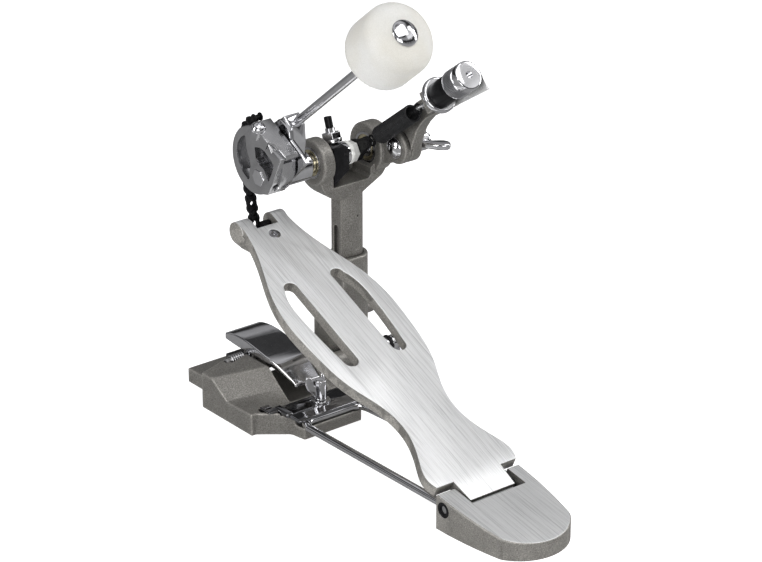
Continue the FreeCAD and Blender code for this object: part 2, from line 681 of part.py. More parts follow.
def make_bearing_inners():
    rings = []
    for x in (LEFT_BOSS_X, RIGHT_BOSS_X):
        rings.append(ring_x(7.2, BEARING_BORE, x, x + BEARING_WIDTH, 0, SHAFT_Z))
    return group(rings)


def make_bearing_balls():
    balls = []
    for x in (LEFT_BOSS_X, RIGHT_BOSS_X):
        for k in range(8):
            angle = math.radians(45 * k + 20)
            y = 9.0 * math.cos(angle)
            z = SHAFT_Z + 9.0 * math.sin(angle)
            balls.append(Part.makeSphere(1.74, Vector(x + BEARING_WIDTH / 2, y, z)))
    return group(balls)


def make_bearing_shields():
    shields = []
    for x in (LEFT_BOSS_X, RIGHT_BOSS_X):
        for x0 in (x + 0.5, x + BEARING_WIDTH - 1.1):
            shields.append(ring_x(10.8, 7.5, x0, x0 + 0.6, 0, SHAFT_Z))
    return group(shields)


# ---------------------------------------------------------------- drive shaft and cam
def make_shaft():
    hexagon = hexagon_x(SHAFT_ACROSS, CAM_X0 - 0.6, 30.0, 0, SHAFT_Z)
    hexagon = soften(hexagon, 0.6, (CAM_X0 - 1, -10, 180), (CAM_X0, 10, 210))
    spacer = rod_x(SPACER_R, 24.2, LEFT_BOSS_X - 0.2, 0, SHAFT_Z)
    middle = hexagon_x(SHAFT_ACROSS, 45.0, 79.6, 0, SHAFT_Z)
    return fused(hexagon, spacer, middle, rod_x(BEARING_BORE, 28, 103, 0, SHAFT_Z))


def cam_windows():
    """A crescent in front of the hub's spoke and a triangle behind it."""
    front = [(16.2, 31.4), (21.9, 27.6), (26.6, 21.3), (27.9, 13.4), (26.2, 6.3), (21.3, -0.3)]
    front = front + [(13.1, -5.8), (9.6, -0.6), (9.4, 6.2), (11.0, 11.6), (13.6, 17.2), (15.4, 24.0)]
    rear = [(4.1, 24.5), (2.7, 15.2), (-5.4, 8.0), (-13.5, 0.6), (-17.6, 8.6), (-21.0, 16.4)]
    rear = rear + [(-16.7, 20.0), (-9.3, 24.8), (-3.2, 26.2)]
    windows = []
    for outline in (front, rear):
        points = [(y, SHAFT_Z + z) for y, z in outline]
        window = prism_x(points, CAM_X0 - 2, CAM_X1 + 2)
        windows.append(soften(window, 1.3, (CAM_X0 - 3, -40, 100), (CAM_X1 + 3, 40, 300)))
    return windows


def make_cam():
    """Open wheel set off the shaft's centre, with a chain track and a hub block."""
    cy = CAM_CENTRE_Y
    cz = CAM_CENTRE_Z
    z = SHAFT_Z
    flange = soften(rod_x(FLANGE_R, CAM_X0, TRACK_X0, FLANGE_CENTRE_Y, FLANGE_CENTRE_Z), 0.8)
    track = rod_x(CAM_TRACK_R, TRACK_X0 - 1, TRACK_X1 + 1, cy, cz)
    far_flange = soften(rod_x(FLANGE_R, TRACK_X1, CAM_X1, FLANGE_CENTRE_Y, FLANGE_CENTRE_Z), 0.5)
    wheel = fused(flange, track, far_flange)
    block = [(-4, z - 12.4), (-12.6, z - 10.4), (-29.2, z + 23.4), (-20, z + 28), (-4, z + 12)]
    block_solid = prism_x(block, CAM_X0, 2.0)
    block_solid = soften(block_solid, 0.9, (CAM_X0 - 1, -40, z - 12), (3, -3, z + 27))
    hub = rod_x(11.5, CAM_X0, 10.0, 0, z)
    neck = soften(rod_x(NECK_R, 9.0, 24.0, 0, z), 0.8)
    body = fused(wheel, block_solid)
    for window in cam_windows():
        body = body.cut(window)
    body = fused(body, hub, neck)
    body = body.cut(roof_zone().cut(rim_zone()))
    body = body.cut(tip_pocket())
    body = body.cut(hexagon_x(SHAFT_ACROSS, CAM_X0 - 1, 26, 0, z))
    for inner, outer in cam_screw_spots():
        body = body.cut(rod_between(2.5, inner, outer))
    return body


def cam_screw_spots():
    """Axes of the two set screws, square to the block's sloping face."""
    spots = []
    for x in (-10.5, -2.5):
        inner = (x, -8.5, SHAFT_Z + 1.0)
        outer = (x, -24.0, SHAFT_Z - 6.5)
        spots.append((inner, outer))
    return spots


def make_cam_set_screws():
    screws = []
    for inner, outer in cam_screw_spots():
        way = Vector(*outer) - Vector(*inner)
        start = Vector(*inner)
        screw = Part.makeCylinder(2.5, 7.5, start, way)
        way.normalize()
        socket = Part.makeCylinder(1.3, 3.0, start + way * 5.5, way)
        screws.append(screw.cut(socket))
    return group(screws)


def roof_point(along, above):
    """On the beater bracket's sloping top: along runs down to the player."""
    y = ROOF_NORMAL[1] * above + ROOF_ALONG[1] * along
    z = SHAFT_Z + ROOF_NORMAL[2] * above + ROOF_ALONG[2] * along
    return y, z


def roof_zone():
    """Everything above the seat of the beater bracket on the cam."""
    seat = [roof_point(-25.6, ROOF_SEAT), roof_point(40, ROOF_SEAT)]
    return prism_x(seat + [roof_point(40, 90), roof_point(-25.6, 90)], CAM_X0 - 5, CAM_X1 + 5)


def roof_prism(plan, low, high):
    """Polygon of (x, along) points on the sloping roof, between two heights above it."""
    points = [Vector(x, *roof_point(along, low)) for x, along in plan + plan[:1]]
    top = Vector(0, *roof_point(0, high))
    bottom = Vector(0, *roof_point(0, low))
    return Part.Face(Part.makePolygon(points)).extrude(top - bottom)


def rim_zone():
    """Strip beside the bracket where the cam's front rim stands up."""
    plan = [(CAM_X0 - 9, -2.9), (-14.7, -2.6), (-12.4, -0.5), (-11.0, 1.2), (-10.4, 3.3)]
    plan = plan + [(-10.4, 30.0), (CAM_X0 - 9, 30.0)]
    return roof_prism(plan, ROOF_SEAT - 1.0, ROOF_TOP - 1.6)


def tip_pocket():
    """Dark opening under the bracket's tip."""
    return roof_prism([(-9.6, 2.0), (0.6, 2.0), (0.6, 11.6), (-9.6, 11.6)], 22.0, ROOF_SEAT + 0.2)


def make_beater_bracket():
    """Sloping cap on the cam that joins it to the beater's side."""
    outline = [roof_point(-25.5, ROOF_SEAT), roof_point(-25.5, ROOF_TOP), roof_point(13.9, ROOF_TOP)]
    outline = outline + [roof_point(15.6, ROOF_TOP - 2.6), roof_point(15.0, ROOF_SEAT + 3.2)]
    outline = outline + [roof_point(4.0, ROOF_SEAT + 3.2), roof_point(2.5, ROOF_SEAT)]
    plate = prism_x(outline, CAM_X0 - 0.8, 2.0)
    plate = fused(plate, placed(rod_z(6.2, 0, 0, ROOF_SEAT, ROOF_TOP), SCREW_FOOT, ROOF_NORMAL))
    strip = [(CAM_X0 - 9, -3.4), (-14.3, -3.0), (-11.8, -0.8), (-10.5, 1.0), (-9.8, 3.2)]
    strip = strip + [(-9.8, 30.0), (CAM_X0 - 9, 30.0)]
    plate = plate.cut(roof_prism(strip, ROOF_SEAT - 2.0, ROOF_TOP + 2.0))
    return soften(plate, 0.9, (CAM_X0 - 7, -50, SHAFT_Z + 10), (CAM_X0, 20, SHAFT_Z + 60))


def make_bracket_screw():
    """Domed screw on the bracket's top."""
    seat = Vector(*SCREW_FOOT) + Vector(*ROOF_NORMAL) * ROOF_TOP
    dome = [(0, 5.9), (1.2, 5.9), (3.0, 4.9), (4.4, 3.0), (4.9, 1.6)]
    head = lathe(dome, (seat.x, seat.y, seat.z), ROOF_NORMAL)
    socket = placed(rod_z(1.7, 0, 0, 2.6, 8.0), (seat.x, seat.y, seat.z), ROOF_NORMAL)
    return head.cut(socket)


# ---------------------------------------------------------------- beater
def beater_axis():
    """Foot of the perpendicular from the shaft, and the rod's direction."""
    a = math.radians(BEATER_TILT)
    way = (0, -math.sin(a), math.cos(a))
    foot = (BEATER_X, BEATER_OFFSET * math.cos(a), SHAFT_Z + BEATER_OFFSET * math.sin(a))
    return Vector(*foot), Vector(*way)


def make_beater_holder():
    """Split hub on the shaft's neck with a clamp block round the rod."""
    foot, way = beater_axis()
    z = SHAFT_Z
    hub = soften(rod_x(12.4, 7.4, 30.0, 0, z), 0.9)
    block = prism_x([
        (-13.0, z + 25.5), (-12.0, z + 40.3), (-4.0, z + 47.4), (12.0, z + 34.0), (10.0, z + 4.0),
        (-10.0, z + 6.0),
    ], 7.4, 22.6)
    block = soften(block, 0.9)
    plate = prism_x([
        (-37.0, z + 19.0), (-28.6, z + 25.0), (-17.2, z + 31.8), (-16.6, z + 39.6), (-3.1, z + 45.6),
        (12.0, z + 34.0), (10.0, z - 4.0), (-10.0, z - 8.0), (-20.0, z + 1.0),
    ], 3.8, 7.4)
    body = fused(hub, block, plate)
    body = body.cut(rod_x(NECK_R + RUN_CLEARANCE, 0, 24.15, 0, z))
    body = body.cut(rod_x(SPACER_R + RUN_CLEARANCE, 20, 31, 0, z))
    body = body.cut(rod_x(11.5 + RUN_CLEARANCE, 0, 10.2, 0, z))
    start = foot - way * 10.0
    body = body.cut(Part.makeCylinder(ROD_R + RUN_CLEARANCE, 90, start, way))
    spot, out = holder_screw_axis()
    return body.cut(Part.makeCylinder(2.5, 20.0, spot, out))


def holder_screw_axis():
    """The key bolt runs along X and presses on the rod from the left."""
    foot, way = beater_axis()
    spot = foot + way * 31.5 - Vector(ROD_R + 0.1, 0, 0)
    return spot, Vector(-1, 0, 0)


def make_beater_key_bolt():
    spot, out = holder_screw_axis()
    shank = Part.makeCylinder(2.5, 6.4, spot, out)
    key = Part.makeBox(3.4, 3.4, 3.2)
    key.translate(Vector(-1.7, -1.7, 0))
    key = placed(soften(key, 0.5), (spot + out * 5.7), (out.x, out.y, out.z))
    return fused(shank, key)


def make_beater_rod():
    foot, way = beater_axis()
    length = BEATER_REACH - 14.0 + 8.0
    rod = Part.makeCylinder(ROD_R, length, foot + way * 14.0, way)
    return soften(rod, 0.6)


def make_beater_felt():
    """Barrel of felt on the rod's axis, with large rounded rims."""
    foot, way = beater_axis()
    half = BEATER_LENGTH / 2
    centre = foot + way * BEATER_REACH
    barrel = Part.makeCylinder(BEATER_R, BEATER_LENGTH, centre - way * half, way)
    barrel = soften(barrel, 12.0)
    return barrel.cut(Part.makeCylinder(ROD_R, 90, centre - way * 45, way))


def make_beater_cap():
    """Domed chrome nut on the felt's outer end."""
    foot, way = beater_axis()
    centre = foot + way * (BEATER_REACH + BEATER_LENGTH / 2)
    dome = [(0, 10.8), (0.8, 11.0), (2.2, 9.8), (3.6, 7.0), (4.4, 3.4), (4.6, 1.0)]
    return lathe(dome, (centre.x, centre.y, centre.z), (way.x, way.y, way.z))


# ---------------------------------------------------------------- spring side of the shaft
def key_boss_way():
    a = math.radians(KEY_LEAN)
    return (0.0, math.sin(a), math.cos(a))


def make_rotor_block():
    """Dark block keyed to the shaft, next to the left bearing."""
    z = SHAFT_Z
    front = prism_y([
        (50.2, z - 19.0), (50.2, z + 11.5), (62.6, z + 11.5), (65.0, z + 8.6), (65.0, z - 8.8),
        (58.5, z - 13.0),
    ], -13.0, 3.0)
    rear = box(50.2, 65.0, 2.0, 11.0, z - 9.0, z + 11.5)
    block = soften(fused(front, rear), 1.2)
    block = block.cut(hexagon_x(SHAFT_ACROSS, 40, 70, 0, z))
    return block.cut(placed(rod_z(8.7, 0, 0, 10.9, 30), (KEY_X, 0, z), key_boss_way()))


def make_rotor_collar():
    """Chromed ring and the castellated seat of the key bolt."""
    z = SHAFT_Z
    band = soften(ring_x(9.6, 7.3, 65.2, 70.6, 0, z), 0.7)
    seat = rod_z(8.0, 0, 0, 10.9, 13.8)
    nut = soften(prism_hex_z(14.2, 5.4).translated(Vector(0, 0, 13.6)), 0.6)
    neck = rod_z(4.0, 0, 0, 18.8, 22.6)
    boss = fused(seat, nut, neck).cut(rod_z(2.6, 0, 0, 0, 40))
    boss = placed(boss, (KEY_X, 0, z), key_boss_way())
    return group([band, boss])


def make_rotor_key_bolt():
    """Black square-topped bolt through the seat."""
    shank = rod_z(2.6, 0, 0, 10.9, 27.0)
    key = soften(rod_z(3.2, 0, 0, 22.8, 32.0), 0.6)
    return placed(fused(shank, key), (KEY_X, 0, SHAFT_Z), key_boss_way())


def make_nylon_bush():
    """White nylon spacer in two steps."""
    flange = soften(rod_x(9.6, 70.8, 74.2, 0, SHAFT_Z), 0.8)
    barrel = soften(hexagon_x(15.6, 73.2, 79.6, 0, SHAFT_Z), 0.8)
    return fused(flange, barrel).cut(hexagon_x(SHAFT_ACROSS, 60, 90, 0, SHAFT_Z))


def spring_way():
    a = math.radians(SPRING_RISE)
    return Vector(0, -math.cos(a), math.sin(a))


def make_spring_crank():
    """Black arm on the shaft with the pin that the spring pulls."""
    way = spring_way()
    tip = Vector(0, 0, SHAFT_Z) + way * CRANK_R
    hub = rod_x(9.0, 79.8, 83.4, 0, SHAFT_Z)
    end = rod_x(5.0, 79.8, 83.4, tip.y, tip.z)
    side = Vector(0, way.z, -way.y)
    web = prism_x([
        (side.y * 8, SHAFT_Z + side.z * 8), (tip.y + side.y * 4.6, tip.z + side.z * 4.6),
        (tip.y - side.y * 4.6, tip.z - side.z * 4.6), (-side.y * 8, SHAFT_Z - side.z * 8),
    ], 79.8, 83.4)
    body = fused(hub, end, web)
    body = soften(body, 0.7)
    body = body.cut(rod_x(BEARING_BORE, 70, 90, 0, SHAFT_Z))
    return body.fuse(rod_x(2.0, 83.0, 84.4, tip.y, tip.z)).removeSplitter()


def spring_point(along):
    way = spring_way()
    return Vector(SPRING_X, 0, SHAFT_Z) + way * along


def make_spring():
    """Close-wound coils, drawn as their outer tube with the bore open."""
    way = spring_way()
    start = spring_point(SPRING_START)
    length = SPRING_END - SPRING_START
    tube = Part.makeCylinder(SPRING_R, length, start, way)
    return tube.cut(Part.makeCylinder(SPRING_R - SPRING_WIRE, length + 2, start - way, way))


def make_spring_top_hook():
    """End loop that hangs in the eye."""
    way = spring_way()
    loop = Part.makeTorus(4.0, 1.0, spring_point(91.0), Vector(1, 0, 0))
    leg = Part.makeCylinder(1.0, 87.4 - (SPRING_END - 9), spring_point(SPRING_END - 9), way)
    way_out = Vector(0, way.z, -way.y)
    reach = Part.makeCylinder(1.0, SPRING_R - SPRING_WIRE - 0.1, spring_point(SPRING_END - 8), way_out)
    return fused(loop, leg, reach)


def make_spring_low_hook():
    """End loop that reaches over the crank pin."""
    way = spring_way()
    loop = Part.makeTorus(4.0, 1.0, spring_point(CRANK_R + 1.2), Vector(1, 0, 0))
    leg = Part.makeCylinder(1.0, 22.0, spring_point(CRANK_R + 4.8), way)
    way_out = Vector(0, way.z, -way.y)
    reach = Part.makeCylinder(1.0, SPRING_R - SPRING_WIRE - 0.1, spring_point(CRANK_R + 25.8), way_out)
    return fused(loop, leg, reach)


def make_eye_bolt():
    """Threaded eye bolt that the knob draws up."""
    way = spring_way()
    eye = Part.makeTorus(4.0, 1.2, spring_point(96.5), Vector(0, way.z, -way.y))
    shank = Part.makeCylinder(2.6, 58.0, spring_point(100.0), way)
    return fused(eye, shank)


def make_swivel_arm():
    """Casting from the swivel up to the tightener's barrel."""
    way = spring_way()
    x0 = ARM_X
    x1 = x0 + 10.0
    side = Vector(0, way.z, -way.y)
    head = spring_point(ARM_END - 6)
    low_front = head - side * 9.5 - way * 3
    high_front = head - side * 9.5 + way * 6
    high_back = head + side * 8 + way * 6
    low_back = head + side * 8 - way * 3
    pivot = rod_x(14.0, x0, x1, SWIVEL_Y, SWIVEL_Z)
    neck = [(-46.5, 197), (-49.6, 206), (-52.4, 213), (-57, 224.5), (-61.5, 231), (-68, 238)]
    neck = neck + [(low_front.y, low_front.z), (high_front.y, high_front.z)]
    neck = neck + [(high_back.y, high_back.z), (low_back.y, low_back.z)]
    neck = neck + [(-56, 248), (-38, 230), (-26, 214), (-24, 200)]
    arm = prism_x(neck, x0 - 2.6, x1 - 2.0)
    arm = arm.cut(rod_x(15.0, x0 - 4, x0, SWIVEL_Y, SWIVEL_Z))
    lug = prism_x([(p.y, p.z) for p in (low_front, high_front, high_back, low_back)], SPRING_X - 8.5, x1 - 2)
    body = fused(pivot, arm, lug)
    body = soften(body, 1.2)
    body = body.cut(Part.makeCylinder(2.6 + RUN_CLEARANCE, 40, spring_point(95), way))
    return body.cut(rod_x(4.0, 80, 130, SWIVEL_Y, SWIVEL_Z))


def make_tightener_flange():
    way = spring_way()
    ring = Part.makeCylinder(14.6, 5.2, spring_point(ARM_END), way)
    ring = soften(ring, 1.8)
    return ring.cut(Part.makeCylinder(2.6 + RUN_CLEARANCE, 40, spring_point(110), way))


def make_tightener_sleeve():
    way = spring_way()
    sleeve = soften(Part.makeCylinder(10.6, 19.7, spring_point(ARM_END + 5.2), way), 0.6)
    return sleeve.cut(Part.makeCylinder(2.6 + RUN_CLEARANCE, 40, spring_point(110), way))


def make_tightener_knob():
    """Knurled nut on the eye bolt."""
    way = spring_way()
    profile = [(0, 10.6), (0.8, 11.8), (14.0, 11.8), (14.6, 11.1), (16.4, 11.1), (17.6, 11.6)]
    profile = profile + [(20.6, 11.6), (21.6, 10.6)]
    start = spring_point(ARM_END + 25.0)
    knob = lathe(profile, (start.x, start.y, start.z), (way.x, way.y, way.z))
    knob = knob.cut(Part.makeCylinder(2.6 + RUN_CLEARANCE, 14, start - way, way))
    hexagon = placed(prism_hex_z(4.0, 4.0), start + way * 18.6, (way.x, way.y, way.z))
    return knob.cut(hexagon)


def prism_hex_z(across, height):
    corner = across / math.sqrt(3)
    points = []
    for k in range(7):
        angle = math.radians(60 * k)
        points.append(Vector(corner * math.cos(angle), corner * math.sin(angle), 0))
    return Part.Face(Part.makePolygon(points)).extrude(Vector(0, 0, height))


def make_lock_plate():
    """Flat plate beside the knob that keeps the barrel from turning."""
    way = spring_way()
    side = Vector(0, way.z, -way.y)
    x0 = SPRING_X + 12.4
    low = spring_point(ARM_END)
    high = spring_point(165.0)
    plate = prism_x([
        (low.y + side.y * 6, low.z + side.z * 6), (high.y + side.y * 2, high.z + side.z * 2),
        (high.y - side.y * 14.4, high.z - side.z * 14.4), (low.y - side.y * 11, low.z - side.z * 11),
    ], x0, x0 + 2.4)
    plate = plate.cut(Part.makeCylinder(14.9, 5.8, spring_point(119.9), way))
    return soften(plate, 0.8)


def make_swivel_bolt():
    """Dome-headed bolt through the swivel."""
    dome = [(0, 9.0), (1.2, 9.0), (3.0, 7.2), (4.3, 4.2), (4.9, 1.4)]
    head = lathe(dome, (SWIVEL_X, SWIVEL_Y, SWIVEL_Z), (-1, 0, 0))
    shank = rod_x(4.0, SWIVEL_X - 1, 128, SWIVEL_Y, SWIVEL_Z)
    return fused(head, shank)


def make_swivel_wing_nut():
    """Wing nut that locks the swivel arm."""
    wings = wing_screw(8.6, 13.0, 30.0, 19.0, 8.0, 5.6)
    nut = placed(wings, (ARM_X + 10.1, SWIVEL_Y, SWIVEL_Z), (1, 0, 0), -102.0)
    return nut.cut(rod_x(4.0 + RUN_CLEARANCE, 100, 129, SWIVEL_Y, SWIVEL_Z))


# ---------------------------------------------------------------- chain
def toe_pin_point():
    y, z = board_point(BOARD_LENGTH - TOE_R, -TOE_R)
    return Vector(CHAIN_X, y, z)


def chain_pins():
    """Pin centres from the toe up to the cam: a straight run, then round the cam."""
    toe = toe_pin_point()
    centre = Vector(CHAIN_X, CAM_CENTRE_Y, CAM_CENTRE_Z)
    gap = toe - centre
    reach = gap.Length
    run = math.sqrt(reach ** 2 - CHAIN_R ** 2)
    angle = math.atan2(gap.z, gap.y) + math.acos(CHAIN_R / reach)
    tangent = centre + Vector(0, math.cos(angle), math.sin(angle)) * CHAIN_R
    way = (tangent - toe).normalize()
    pins = [toe]
    while CHAIN_PITCH * len(pins) < run:
        pins.append(toe + way * (CHAIN_PITCH * len(pins)))
    while len(pins) <= CHAIN_LINKS:
        arm = pins[-1] - centre
        far = arm.Length
        share = (far ** 2 + CHAIN_R ** 2 - CHAIN_PITCH ** 2) / (2 * far * CHAIN_R)
        turn = math.acos(min(1.0, share))
        angle = math.atan2(arm.z, arm.y) + turn
        pins.append(centre + Vector(0, math.cos(angle), math.sin(angle)) * CHAIN_R)
    return pins


def figure_eight(a, b, radius, x0, x1):
    """Link plate between two pins, waisted in the middle."""
    way = (b - a).normalize()
    side = Vector(0, way.z, -way.y)
    ends = [rod_x(radius, x0, x1, p.y, p.z) for p in (a, b)]
    half = radius * 0.74
    waist = prism_x([
        (a.y + side.y * half, a.z + side.z * half), (b.y + side.y * half, b.z + side.z * half),
        (b.y - side.y * half, b.z - side.z * half), (a.y - side.y * half, a.z - side.z * half),
    ], x0, x1)
    return fused(ends[0], ends[1], waist)


def outer_link(a, b):
    plates = []
    for x0 in (CHAIN_X - 3.55, CHAIN_X + 2.65):
        plates.append(figure_eight(a, b, 3.4, x0, x0 + 0.9))
    pins = [rod_x(1.15, CHAIN_X - 4.1, CHAIN_X + 4.1, p.y, p.z) for p in (a, b)]
    return fused(plates[0], plates[1], pins[0], pins[1])


def inner_link(a, b):
    plates = []
    for x0 in (CHAIN_X - 2.4, CHAIN_X + 1.5):
        plates.append(figure_eight(a, b, 3.4, x0, x0 + 0.9))
    rollers = [rod_x(2.4, CHAIN_X - 2.0, CHAIN_X + 2.0, p.y, p.z) for p in (a, b)]
    body = fused(plates[0], plates[1], rollers[0], rollers[1])
    for p in (a, b):
        body = body.cut(rod_x(1.15 + RUN_CLEARANCE, CHAIN_X - 9, CHAIN_X + 9, p.y, p.z))
    return body


def chain_link(pins, k):
    if k % 2 == 0:
        return outer_link(pins[k], pins[k + 1])
    return inner_link(pins[k], pins[k + 1])


def chain_nodes():
    pins = chain_pins()
    run_links = CHAIN_LINKS - CHAIN_WRAP_LINKS - CHAIN_FREE_LINKS
    nodes = {"chain_run": group([chain_link(pins, k) for k in range(run_links)])}
    for n in range(CHAIN_FREE_LINKS):
        nodes[f"chain_link_{n + 1}"] = chain_link(pins, run_links + n)
    first_wrap = run_links + CHAIN_FREE_LINKS
    nodes["chain_wrap"] = group([chain_link(pins, k) for k in range(first_wrap, CHAIN_LINKS)])
    return nodes


def make_toe_pin_sleeve():
    """Black spacer beside the chain on the toe pin."""
    toe = toe_pin_point()
    half = NOTCH_HALF - 0.9
    spacer = ring_x(3.6, 1.15, CHAIN_X + 4.2, half, toe.y, toe.z)
    stub = rod_x(1.15, CHAIN_X + 4.15, half, toe.y, toe.z)
    left = rod_x(2.2, -half, CHAIN_X - 4.15, toe.y, toe.z)
    return group([fused(spacer, stub), left])


def make_base_with_bolt_room():
    body = make_base_casting()
    body = body.cut(sleeve_body())
    for room in sleeve_bolt_room():
        body = body.cut(room)
    return body


MAKERS = {
    "footboard": make_footboard,
    "toe_screw": make_toe_screw,
    "heel_casting": make_heel,
    "heel_pin": make_heel_pin,
    "heel_pin_bushes": make_heel_bushes,
    "stabiliser_rod": make_stabiliser_rod,
    "base_casting": make_base_with_bolt_room,
    "hoop_pad": make_hoop_pad,
    "hoop_clamp_lever": make_clamp_lever,
    "lever_pin": make_lever_pin,
    "lever_spring": make_lever_spring,
    "hoop_clamp_screw": make_clamp_screw,
    "hoop_clamp_nut": make_clamp_screw_nut,
    "rod_clamp_plate": make_rod_clamp_plate,
    "rod_clamp_washer": make_rod_clamp_washer,
    "rod_clamp_screw": make_rod_clamp_screw,
    "post_sleeve": make_post_sleeve,
    "sleeve_bolts": make_sleeve_bolts,
    "height_screws": make_height_screws,
    "yoke_post": make_yoke,
    "bearing_outer_races": make_bearing_outers,
    "bearing_inner_races": make_bearing_inners,
    "bearing_balls": make_bearing_balls,
    "bearing_shields": make_bearing_shields,
    "drive_shaft": make_shaft,
    "drive_cam": make_cam,
    "cam_set_screws": make_cam_set_screws,
    "beater_bracket": make_beater_bracket,
    "bracket_screw": make_bracket_screw,
    "beater_holder": make_beater_holder,
    "beater_key_bolt": make_beater_key_bolt,
    "beater_rod": make_beater_rod,
    "beater_felt": make_beater_felt,
    "beater_cap_nut": make_beater_cap,
    "rotor_block": make_rotor_block,
    "rotor_collar": make_rotor_collar,
    "rotor_key_bolt": make_rotor_key_bolt,
    "nylon_bush": make_nylon_bush,
    "spring_crank": make_spring_crank,
    "return_spring": make_spring,
    "spring_top_hook": make_spring_top_hook,
    "spring_low_hook": make_spring_low_hook,
    "eye_bolt": make_eye_bolt,
    "swivel_arm": make_swivel_arm,
    "swivel_bolt": make_swivel_bolt,
    "swivel_wing_nut": make_swivel_wing_nut,
    "tightener_flange": make_tightener_flange,
    "tightener_sleeve": make_tightener_sleeve,
    "tightener_knob": make_tightener_knob,
    "knob_lock_plate": make_lock_plate,
    "toe_pin_spacer": make_toe_pin_sleeve,
}


def main():
    os.makedirs("parts", exist_ok=True)
    shapes = {}
    for node, maker in MAKERS.items():
        shapes[node] = maker()
    shapes.update(chain_nodes())
    for node, shape in shapes.items():
        shape.exportStep(f"parts/{node}.step")
        b = shape.BoundBox
        print(node, shape.isValid(), len(shape.Solids), round(shape.Volume), b)


main()
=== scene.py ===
import json
import math

import bmesh
import bpy
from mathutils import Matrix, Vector, noise
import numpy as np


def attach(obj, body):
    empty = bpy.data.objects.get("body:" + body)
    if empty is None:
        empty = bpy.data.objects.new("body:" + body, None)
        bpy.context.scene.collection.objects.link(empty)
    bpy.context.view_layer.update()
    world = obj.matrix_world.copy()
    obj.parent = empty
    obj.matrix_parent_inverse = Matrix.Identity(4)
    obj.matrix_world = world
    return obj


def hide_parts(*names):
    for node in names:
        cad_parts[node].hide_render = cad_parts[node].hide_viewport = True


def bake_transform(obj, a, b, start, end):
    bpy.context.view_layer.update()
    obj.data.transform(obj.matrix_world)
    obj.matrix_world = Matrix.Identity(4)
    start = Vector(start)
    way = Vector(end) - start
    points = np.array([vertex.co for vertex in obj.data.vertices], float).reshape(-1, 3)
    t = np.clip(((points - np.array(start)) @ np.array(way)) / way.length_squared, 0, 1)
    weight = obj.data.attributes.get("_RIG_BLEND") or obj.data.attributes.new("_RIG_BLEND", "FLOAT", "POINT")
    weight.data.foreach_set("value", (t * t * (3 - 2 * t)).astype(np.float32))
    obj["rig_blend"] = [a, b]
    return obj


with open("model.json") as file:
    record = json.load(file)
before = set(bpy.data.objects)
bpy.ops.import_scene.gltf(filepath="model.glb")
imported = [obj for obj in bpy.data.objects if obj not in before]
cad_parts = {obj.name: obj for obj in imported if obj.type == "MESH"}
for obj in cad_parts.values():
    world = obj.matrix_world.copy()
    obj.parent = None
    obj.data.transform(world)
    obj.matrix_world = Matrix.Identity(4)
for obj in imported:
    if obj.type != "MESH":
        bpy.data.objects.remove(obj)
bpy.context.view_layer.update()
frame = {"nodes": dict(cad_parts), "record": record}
record = frame["record"]
node_slot = {part["node"]: part["material_slot"] for part in record["subparts"]}
body_of = {node: body for body, nodes in record["behaviour"]["bodies"].items() for node in nodes}
MM = 0.001
BOARD_SLOPE = math.radians(24.1)
HEEL_SLOPE = math.radians(11)

# ---------------------------------------------------------------- camera
CAMERA_AZIMUTH = math.radians(-38.6)
CAMERA_ELEVATION = math.radians(23.8)
CAMERA_PLACE = (-1.2942, -1.7558, 1.0645)
LENS_MM = 141.73

scene = bpy.context.scene
camera_data = bpy.data.cameras.new("camera")
camera_data.sensor_width = 36
camera_data.lens = LENS_MM
camera_data.clip_start = 0.05
camera_data.clip_end = 50
camera = bpy.data.objects.new("camera", camera_data)
scene.collection.objects.link(camera)
camera.location = CAMERA_PLACE
camera.rotation_euler = (math.pi / 2 - CAMERA_ELEVATION, 0, CAMERA_AZIMUTH)
scene.camera = camera
scene.view_settings.view_transform = "Standard"

# ---------------------------------------------------------------- studio
# name, place, the point it aims at, size and power
SOFTBOXES = [
    ("top_softbox", (0.05, -0.75, 1.40), (0.0, -0.12, 0.1), (1.5, 1.0), 8.6),
    ("left_strip", (-1.40, 0.05, 0.60), (0, -0.05, 0.15), (0.45, 1.2), 8.5),
    ("front_fill", (-1.0, -1.6, 0.55), (0, -0.1, 0.15), (1.3, 0.8), 9),
    ("right_strip", (1.25, -0.6, 0.75), (0, -0.05, 0.15), (0.3, 1.3), 6),
    ("knob_glow", (0.95, -1.15, 1.20), (0.09, -0.10, 0.29), (0.9, 0.8), 1.35),
]
# height on the sky's sphere, from the bottom (0) to the top (1), and how bright it is there
SKY_STEPS = [
    (0.00, 0.30), (0.05, 0.03), (0.22, 0.04), (0.30, 0.36), (0.44, 0.44),
    (0.56, 0.05), (0.72, 0.06), (0.81, 0.60), (0.93, 0.72), (1.00, 0.20),
]
SKY_BLUENESS = 1.02
SKY_STRENGTH = 0.75


def area_light(name, place, aim, size, power):
    data = bpy.data.lights.new(name, "AREA")
    data.shape = "RECTANGLE"
    data.size = size[0]
    data.size_y = size[1]
    data.energy = power
    light = bpy.data.objects.new(name, data)
    light.location = place
    way = Vector(aim) - Vector(place)
    light.rotation_euler = way.to_track_quat("-Z", "Y").to_euler()
    scene.collection.objects.link(light)


def fill_ramp(elements, stops):
    """Give a colour ramp its stops, each a place and a colour."""
    while len(elements) < len(stops):
        elements.new(0.5)
    for element, (place, colour) in zip(elements, stops):
        element.position = place
        element.color = (*colour, 1)


